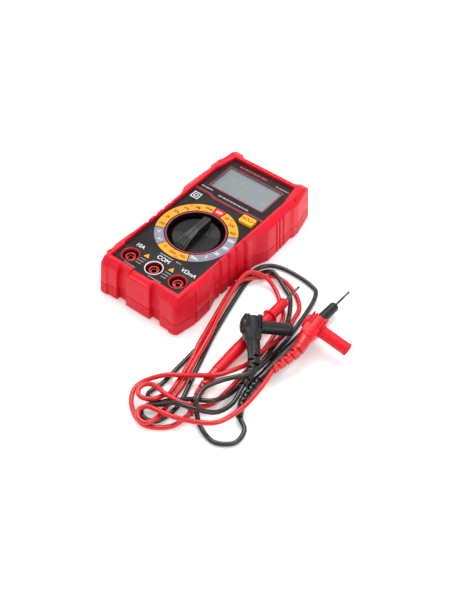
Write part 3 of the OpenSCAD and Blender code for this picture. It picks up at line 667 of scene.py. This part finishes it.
def keep(v, low, high):
    return high + 0.06 * (v - high) if v > high else low + 0.06 * (v - low) if v < low else v


OUT = fine_outline()


def side_ring(z, push=0.0):
    """The side wall at height z. The floors of the end grooves lean out towards the base."""
    d = (PANEL - z) / (PANEL - JOIN) + push
    ring = []
    for x, y in OUT:
        lean = 1.5 * (PANEL - z) / (PANEL - JOIN) if -76.5 < y < -74 and abs(x) < 21 else 0
        ring.append((x * (1 + d / 40.4), y * (1 + d / 80.7) - lean, z))
    return ring


def crease_ring(lower=0.0):
    """Where the side meets the sloping shoulder, which comes lowest at the bottom corners."""
    ring = []
    for x, y, z in side_ring(PANEL):
        drop = 1.0 + (1.9 * min(1.0, max(0.0, (-62 - y) / 6)) if abs(x) > 19 else 0)
        ring.append((x, y, z - drop - lower))
    return ring


def notch(y):
    """How far the grooves of the waist and bumpers reach in, at a place along the side."""
    for middle, half, depth in [(g, 2.0, 1.3) for g in (-29.3, -19.8, -10.8, -1.8)] + [
            (g, 0.9, 0.7) for g in (32.2, 36.2, 41.2)]:
        t = abs(y - middle) / half
        if t < 1:
            return depth * min(1.0, 2.2 * (1 - t))
    return 0.0


def rim_ring():
    return [(keep(x, -34.2, 34.2) - math.copysign(0.6 * notch(y) if abs(x) > 30 else 0, x),
             keep(y, -75.5, 73.2), RIM) for x, y in OUT]


def face_ring(z):
    ring = []
    for x, y in OUT:
        yy = min(max(y, -72.6), 70.7)
        w = face_half_width(yy)
        ring.append((min(max(x, -w), w), yy, z))
    return ring


def mix(a, b, t):
    return [tuple(Vector(p).lerp(Vector(q), t)) for p, q in zip(a, b)]


def turn_edge(a, b, c, steps=4):
    """Rings that round the edge b between the faces a-b and b-c."""
    rings = []
    for k in range(steps + 1):
        t = k / steps
        rings.append([tuple((1 - t) ** 2 * Vector(p) + 2 * t * (1 - t) * Vector(q)
                            + t * t * Vector(r)) for p, q, r in zip(a, b, c)])
    return rings


def lowered(ring, share):
    """The finger ramp at the bottom end and the grip teeth at the top end."""
    out = []
    for x, y, z in ring:
        if y < -70 and abs(x) < 9.0:
            z -= 2.0 * share
        near = min(abs(x + 0.65 - 4.3 * k) for k in range(-3, 4))
        if y > 70 and near < 0.8:
            z -= 1.7 * max(0.0, share - 0.15) if share < 1 else 0
        out.append((x, y, z))
    return out


def make_front():
    crease, rim, face = crease_ring(), rim_ring(), face_ring(RIM)
    low, high = crease_ring(1.1), mix(crease, rim, 0.16)
    edge0, edge1 = mix(crease, rim, 0.80), mix(rim, face, 0.25)
    in0, in1 = mix(rim, face, 0.72), face_ring(RIM - 0.6)
    rings = [side_ring(JOIN + 0.02, -1.2), side_ring(JOIN + 0.22, -1.0),
             side_ring(JOIN + 0.3, -0.2), side_ring(JOIN + 0.55), side_ring(JOIN + 7),
             side_ring(JOIN + 14)]
    rings += turn_edge(low, crease, high)
    rings += [lowered(mix(crease, rim, 0.45), 0.5)]
    rings += [lowered(r, 0.9) for r in turn_edge(edge0, rim, edge1)]
    rings += [lowered(mix(rim, face, 0.5), 1)]
    rings += [lowered(r, 1) for r in turn_edge(in0, face, in1, 3)]
    rings += [face_ring(PANEL - 0.4), face_ring(JOIN + 0.1)]
    verts, faces = loft(rings, close=True)
    parts = [piece("front", verts, faces, case_red, None, 38)]
    # small raised pads near the corners
    for sx in (-1, 1):
        for x, y, z, w, h, tilt in PADS:
            m = (Matrix.Translation((sx * x, y, z))
                 @ Matrix.Rotation(math.radians(sx * tilt), 4, "Y"))
            outer = box2(-w / 2, -h / 2, w / 2, h / 2, 0.3)
            inner = box2(-w / 2 + 0.35, -h / 2 + 0.35, w / 2 - 0.35, h / 2 - 0.35, 0.2)
            parts.append(plate("mark", [outer, inner], -0.3, 0.22, case_red, None, 0.1, m))
    front = joined("front_shell", parts, "base", 38)
    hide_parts("front_case")
    # the wall that the knob turns in, near-black as painted shade of the gap round the knob
    wall = lathe("knob_well", [(22.35, 28.6), (22.35, 23.4), (24.0, 23.4), (24.0, 28.6)], dark_parts_and_shade_mat,
                 "base", (0, DIAL, 0), 96)


DIAL = -13.8
# Each pad's place, width, height and tilt
PADS = ((32.0, 71.9, 33.95, 2.2, 1.6, 0), (36.6, 60.7, 32.86, 2.2, 2.4, 25),
        (35.6, -70.0, 32.83, 1.9, 4.6, 36))
make_front()

# ------------------------------------------------------------------ face panel and print

JACKS = ((-22, jack_red), (0, jack_white), (22, jack_red))
LCD = (-0.6, 47.95)
HOLD = (22.7, 18.8)


def grown(pts, d):
    """An outline with each point moved outwards from the middle by about d."""
    return [(x + math.copysign(d, x), y + math.copysign(d, y)) for x, y in pts]


def make_panel():
    outline = rounded(grown(mirrored(FACE), -0.06), 0.5)
    holes = [circle(0, DIAL, 21.5, 160)]
    holes += [circle(x, -61.8, 7.08, 72) for x, _ in JACKS]
    holes.append(box2(LCD[0] - 24.65, LCD[1] - 13.25, LCD[0] + 24.65, LCD[1] + 13.25, 0.8))
    holes.append(box2(HOLD[0] - 6.4, HOLD[1] - 4.4, HOLD[0] + 6.4, HOLD[1] + 4.4, 1.6))
    panel = plate("panel_plate", [outline, *holes], 28.4, PANEL, panel_mat, None, 0.12)
    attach(panel, "base")
    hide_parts("face_panel")


make_panel()

Z0, Z1 = PANEL - 0.01, PANEL + 0.02


def at_dial(r, deg):
    """A point on the dial, in degrees clockwise from its top."""
    a = math.radians(90 - deg)
    return r * math.cos(a), DIAL + r * math.sin(a)


def sector(a0, a1, r0, r1):
    out = [at_dial(r1, a0 + (a1 - a0) * k / 40) for k in range(41)]
    return out + [at_dial(r0, a1 + (a0 - a1) * k / 40) for k in range(41)]


def bar(x, y, w, h, mat, z0=Z0, z1=Z1):
    return plate("bar", [box2(x - w / 2, y - h / 2, x + w / 2, y + h / 2, h * 0.3)], z0, z1, mat)


def dashes(x, y, w, h, mat):
    """A row of plain dashes of uneven length, where the real object has small print."""
    out, at, k = [], x - w / 2, 0
    while at < x + w / 2 - 0.5 * h:
        long = h * (1.5, 0.9, 2.1, 1.2, 0.8, 1.7)[k % 6]
        long = min(long, x + w / 2 - at)
        out.append(bar(at + long / 2, y, long, h, mat))
        at += long + 0.38 * h + 0.1
        k += 1
    return out


def make_print():
    out = []
    for a0, a1, mat in ((-9, 9, print_red), (9, 63, print_orange), (63, 153, print_grey),
                        (153, 207, print_orange), (207, 243, print_grey),
                        (243, 351, print_orange)):
        gap = 0.75
        out.append(plate("sector", [sector(a0 + gap, a1 - gap, 23.9, 31.0)], Z0, Z1, mat))
    out.append(plate("ring", [circle(0, DIAL, 22.75, 160), circle(0, DIAL, 22.1, 160)], Z0, Z1,
                     print_pink))
    labels = {18: "20", 36: "200", 54: "600", 72: "600", 90: "200", 108: "20", 126: "2",
              144: "200m", 162: "200u", 180: "20m", 198: "10", 252: "200", 270: "2k",
              288: "20k", 306: "200k", 324: "2M", 342: "200M"}
    for k in range(20):
        x, y = at_dial(23.7, 18 * k)
        out.append(plate("tick", [circle(x, y, 0.55, 12)], Z0, Z1 + 0.01, print_black))
    top = Z1 + 0.012
    for deg, word in labels.items():
        grey = 63 < deg < 153 or 207 < deg < 243
        word = word.replace("u", "µ")
        x, y = at_dial(27.1 if len(word) < 4 else 27.4, deg)
        size = 3.8 if len(word) < 4 else 3.1
        out.append(lettering(word, x, y, size, print_white if grey else print_black, top,
                             0, 0.9))
    for word, deg, r, size in (("V~", 27, 29.3, 3.1), ("A", 171, 29.4, 3.1),
                               ("V", 117, 29.4, 3.1), ("Ω", 315, 29.2, 3.2)):
        x, y = at_dial(r, deg)
        out.append(lettering(word, x, y, size, print_red, top, 0, 1))
    x, y = at_dial(27.2, 0)
    out.append(lettering("OFF", x, y, 3.6, print_white, top, 0, 0.85))
    # transistor and diode positions: plain symbols
    x, y = at_dial(27.4, 216)
    out.append(plate("mark", [[(x - 1.2, y - 1.2), (x + 1.1, y), (x - 1.2, y + 1.2)]], Z0, top,
                     print_white))
    out.append(bar(x + 1.3, y, 0.4, 2.4, print_white, Z0, top))
    out.append(bar(x, y, 4.2, 0.35, print_white, Z0, top))
    x, y = at_dial(27.4, 234)
    for r in (0.9, 1.8):
        arc = circle(x - 0.9, y, r, 12, -60, 60)
        out.append(plate("mark", [band(arc, 0.4)], Z0, top, print_white))
    out.append(plate("mark", [circle(x - 1.2, y, 0.45, 12)], Z0, top, print_white))
    # display frame, dividing lines and the double square
    fx, fy = LCD
    frame_out = box2(fx - 25.5, fy - 14.0, fx + 25.5, fy + 14.0, 0.8)
    frame_in = box2(fx - 25.0, fy - 13.5, fx + 25.0, fy + 13.5, 0.8)
    out.append(plate("mark", [frame_out, frame_in], Z0, Z1, print_pink))
    for dy in (0, -1.1):
        line = [(-32.1, 26.8 + dy), (-18.2, 26.7 + dy), (-17, 26.3 + dy), (-15, 25.3 + dy),
                (-13.6, 25.0 + dy), (12.6, 25.0 + dy), (14, 25.3 + dy), (16, 26.3 + dy),
                (17.4, 26.7 + dy), (32.1, 26.8 + dy)]
        out.append(plate("mark", [band(line, 0.42 if dy else 0.55)], Z0, Z1, print_pink))
    for half, width in ((3.5, 0.7), (1.7, 0.6)):
        out.append(plate("mark", [box2(-26 - half, 18.4 - half, -26 + half, 18.4 + half, 0.2),
                                  box2(-26 - half + width, 18.4 - half + width,
                                       -26 + half - width, 18.4 + half - width, 0.1)],
                         Z0, Z1, print_white))
    # plain bars where the maker's words would be
    for x, y, w, h, mat in ((-7.2, 66.2, 26, 1.5, print_pink), (21.4, 64.6, 12, 1.0, print_pale),
                            (-24.6, 30.6, 10.5, 1.3, print_pale),
                            (1.5, 28.9, 28, 1.3, print_pale),
                            (0, -47.2, 12, 0.9, print_pale), (10.6, -47.0, 4.2, 0.9, print_pale),
                            (-12.0, -59.6, 5.0, 0.7, print_pale),
                            (-12.0, -62.2, 5.6, 0.7, print_pale),
                            (-12.0, -64.8, 4.6, 0.7, print_pale),
                            (11.2, -59.6, 5.0, 0.7, print_pale),
                            (11.2, -62.2, 5.6, 0.7, print_pale),
                            (11.2, -64.8, 4.6, 0.7, print_pale),
                            (-15.5, -69.9, 10.5, 0.7, print_pale),
                            (7.5, -70.2, 11.5, 0.7, print_pale)):
        out += dashes(x, y, w, h, mat)
    for x in (-11.6, 11.2):
        tri = rounded([(x - 2.4, -57.0), (x + 2.4, -57.0), (x, -53.0)], 0.5)
        out.append(plate("mark", [tri], Z0, Z1, print_orange))
    for word, x, y, size in (("10A", -22, -50.6, 4.9), ("COM", 0, -51.0, 5.1),
                             ("VΩmA", 22.8, -50.6, 4.9)):
        out.append(lettering(word, x, y, size, print_white, Z1, 0, 0.95))
    done = joined("panel_print", out, "base", 0)


make_print()

# ------------------------------------------------------------------ display

window = plate("window_pane", [box2(LCD[0] - 24.55, LCD[1] - 13.15, LCD[0] + 24.55,
                                    LCD[1] + 13.15, 0.7)], 30.2, PANEL - 0.08, window_mat, None,
               0.15)
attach(window, "base")
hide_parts("display_window")
lcd = plate("lcd_pane", [box2(LCD[0] - 25.4, LCD[1] - 13.4, LCD[0] + 25.4, LCD[1] + 13.4, 0.4)],
            27.0, 29.6, lcd_mat, None, 0.2)
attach(lcd, "base")
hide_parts("lcd_glass")

# ------------------------------------------------------------------ input sockets

for (x, ring_mat), node in zip(JACKS, ("10a", "com", "volt")):
    at = (x, -61.8, 0)
    ring = lathe("r", [(7.0, 28.5), (7.0, 31.3), (6.85, 31.5), (6.5, 31.5), (6.3, 31.3),
                       (6.3, 30.6)], ring_mat, None, at, 72, rnd=0.08)
    # the well wall and the bore are a darker red and the well's floor black: painted shade deep in
    # the socket
    well = lathe("w", [(6.3, 30.6), (5.9, 30.2), (5.9, 24.5)], painted_shade_red, None, at, 72)
    deep = lathe("d", [(5.9, 24.5), (5.9, 15.2), (3.95, 15.2), (3.95, 20)], dark_parts_and_shade_mat, None, at,
                 72)
    post = lathe("p", [(3.95, 15.4), (3.95, 29.3), (3.75, 29.5), (3.1, 29.5), (2.9, 29.3)],
                 jack_red, None, at, 64, rnd=0.12)
    throat = lathe("t", [(2.9, 29.3), (2.5, 28.2), (1.97, 27.6), (1.95, 20), (0.01, 20)],
                   painted_shade_red, None, at, 48)
    made = joined(f"jack_{node}_ring", [ring, well, deep, post, throat], "base", 35)
    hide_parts(f"jack_well_{node}")

# ------------------------------------------------------------------ hold button

cap = plate("c", [box2(HOLD[0] - 6.05, HOLD[1] - 4.05, HOLD[0] + 6.05, HOLD[1] + 4.05, 1.5)],
            26.9, 33.65, button_mat, None, 0.75)
foot = plate("c", [box2(HOLD[0] - 7.2, HOLD[1] - 5.2, HOLD[0] + 6.35, HOLD[1] + 5.2, 0.8)],
             26.85, 27.95, button_mat, None, 0.1)
word = lettering("HOLD", HOLD[0], HOLD[1] + 0.1, 3.9, print_black, 33.655, 0, 0.95)
cap = joined("hold_cap", [cap, foot, word], "hold", 40)
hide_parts("hold_button")

# ------------------------------------------------------------------ selector knob


def make_knob():
    parts = [lathe("k", [(0.01, 12.0), (3, 12.0), (3, 24.1), (21.9, 24.1), (22, 24.3),
                         (22, 24.9), (21.9, 25.0), (20.6, 25.1), (20.65, 25.4), (20.2, 25.75),
                         (18.1, 28.15), (17.7, 28.3), (0.01, 28.3)], knob_mat, None,
                   (0, DIAL, 0), 128, rnd=0.25)]
    # grip bar: its plan, with a top that falls towards the wide end
    plan = rounded([(3.05, 13.9), (3.05, 0.6), (3.4, -1.5), (5.0, -19.2), (4.5, -19.9),
                    (-4.5, -19.9), (-5.0, -19.2), (-3.4, -1.5), (-3.05, 0.6), (-3.05, 13.9),
                    (-1.4, 15.6), (1.4, 15.6)], 1.0)

    def top(y):
        for (ya, za), (yb, zb) in zip(((-20, -0.6), (-18.6, 0.7), (-10, 3.2), (0, 4.45),
                                       (13.6, 4.45)), ((-18.6, 0.7), (-10, 3.2), (0, 4.45),
                                                       (13.6, 4.45), (15.7, 3.3))):
            if y <= yb:
                return PANEL + za + (zb - za) * (y - ya) / (yb - ya)
        return PANEL + 3.3

    fine = []
    for i, a in enumerate(plan):
        b = plan[(i + 1) % len(plan)]
        n = int(math.dist(a, b) / 0.9) + 1
        fine += [(a[0] + (b[0] - a[0]) * k / n, a[1] + (b[1] - a[1]) * k / n) for k in range(n)]
    rings = [[(x, y + DIAL, 28.1) for x, y in fine]]
    for inset, drop in ((-0.0, 1.0), (0.02, 0.55), (0.14, 0.25), (0.4, 0.06), (0.8, 0.0)):
        rings.append([(x * (1 - inset / 5), y * (1 - inset / 18) + DIAL,
                       max(top(y) - drop, 28.2)) for x, y in fine])
    n = len(fine)
    for share in (0.6, 0.3, 0.04):
        rings.append([(x * share, y * 0.955 + DIAL, top(y)) for x, y in fine])
    verts, faces = loft(rings, cap=False)
    parts.append(piece("k", verts, faces, bar_mat, None, 35))
    # outline sunk into the wide end, and the pointer on the tip
    tilt = math.atan2(2.5, 8.6)
    face = (Matrix.Translation((0, DIAL - 14.3, PANEL + 1.98)) @ Matrix.Rotation(tilt, 4, "X"))
    o0 = rounded([(-2.9, -4.2), (2.9, -4.2), (2.3, 4.2), (-2.3, 4.2)], 0.9)
    o1 = rounded([(-2.5, -3.8), (2.5, -3.8), (1.95, 3.8), (-1.95, 3.8)], 0.7)
    parts.append(plate("k", [o0, o1], -0.1, 0.2, bar_mat, None, 0.06, face))
    tip = [(-1.9, DIAL + 14.2), (0, DIAL + 11.9), (1.9, DIAL + 14.2), (1.9, DIAL + 13.5),
           (0, DIAL + 11.2), (-1.9, DIAL + 13.5)]
    parts.append(plate("k", [tip], PANEL + 4.3, PANEL + 4.58, bar_mat, None, 0.05))
    # thin fins from the tip out over the disc
    for s in (-1, 1):
        fin = band([(s * 2.9, DIAL + 13.6), (s * 6.9, DIAL + 2.6)], 0.7)
        parts.append(plate("k", [fin], 28.1, 29.9, bar_mat, None, 0.15))
    knob = joined("knob", parts, "selector", 35)
    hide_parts("selector_knob")


make_knob()

# ------------------------------------------------------------------ pieces kept from the CAD

KEPT = {
    shaded_back_red: ("rear_case", "battery_cover"),
    stand_mat: ("tilt_stand",),
    foot_mat: ("rubber_feet",),
    steel_mat: ("cover_screw", "case_screws", "board_screws", "detent_springs", "detent_balls",
                "fuse_clips"),
    board_mat: ("display_pcb", "main_pcb"),
    dark_parts_and_shade_mat: ("lcd_holder", "board_link", "chip_module", "battery_snap", "battery_leads"),
    silicone_mat: ("zebra_strips",),
    copper_mat: ("shunt_bar",),
    ivory_mat: ("fuse_low", "fuse_high", "contact_carrier", "hold_dome", "board_parts"),
    brass_mat: ("buzzer_disc", "wiper_contacts", "hold_switch", "jack_socket_10a",
                "jack_socket_com", "jack_socket_volt"),
    battery_mat: ("battery_9v",),
}
SOFT_EDGES = {"rear_case": 0.5, "battery_cover": 0.35, "tilt_stand": 0.3, "rubber_feet": 0.15,
              "battery_9v": 0.8}
for mat, nodes in KEPT.items():
    for name in nodes:
        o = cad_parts[name]
        o.data.materials.clear()
        o.data.materials.append(mat)
        if name in SOFT_EDGES:
            w = o.modifiers.new("weld", "WELD")
            w.merge_threshold = 0.00002
            b = o.modifiers.new("edges", "BEVEL")
            b.width = SOFT_EDGES[name] * MM
            b.segments = 3
            b.limit_method = "ANGLE"
            b.angle_limit = math.radians(32)

# ------------------------------------------------------------------ stage and light


FLOOR_HALF = 6
FLOOR_Z = -0.0001


def make_stage():
    me = bpy.data.meshes.new("floor")
    me.from_pydata([(x * FLOOR_HALF, y * FLOOR_HALF, FLOOR_Z)
                    for x, y in ((-1, -1), (1, -1), (1, 1), (-1, 1))], [], [(0, 1, 2, 3)])
    mat = bpy.data.materials.new("floor")
    mat.use_nodes = True
    b = mat.node_tree.nodes["Principled BSDF"]
    b.inputs["Base Color"].default_value = (0.93, 0.93, 0.93, 1)
    b.inputs["Roughness"].default_value = 0.75
    b.inputs["Specular IOR Level"].default_value = 0.2
    b.inputs["Emission Color"].default_value = (1, 1, 1, 1)
    b.inputs["Emission Strength"].default_value = 0.22
    me.materials.append(mat)
    o = bpy.data.objects.new("floor", me)
    bpy.context.scene.collection.objects.link(o)
    world = bpy.data.worlds.new("world")
    bpy.context.scene.world = world
    world.use_nodes = True
    sky = world.node_tree.nodes["Background"]
    sky.inputs["Color"].default_value = (1, 1, 1, 1)
    sky.inputs["Strength"].default_value = 0.78
    bpy.context.scene.view_settings.view_transform = "Standard"
    for name, at, size, power in (("key", (-0.30, 0.45, 1.5), 1.0, 17.0),
                                  ("fill", (1.5, -0.25, 0.9), 1.1, 6.5),
                                  ("rim", (-1.2, -0.3, 0.8), 0.8, 2.5)):
        data = bpy.data.lights.new(name, "AREA")
        data.size = size
        data.energy = power
        lamp = bpy.data.objects.new(name, data)
        lamp.location = at
        aim = Vector((0.04, -0.03, 0.02)) - Vector(at)
        lamp.rotation_mode = "QUATERNION"
        lamp.rotation_quaternion = aim.to_track_quat("-Z", "Y")
        bpy.context.scene.collection.objects.link(lamp)


make_stage()
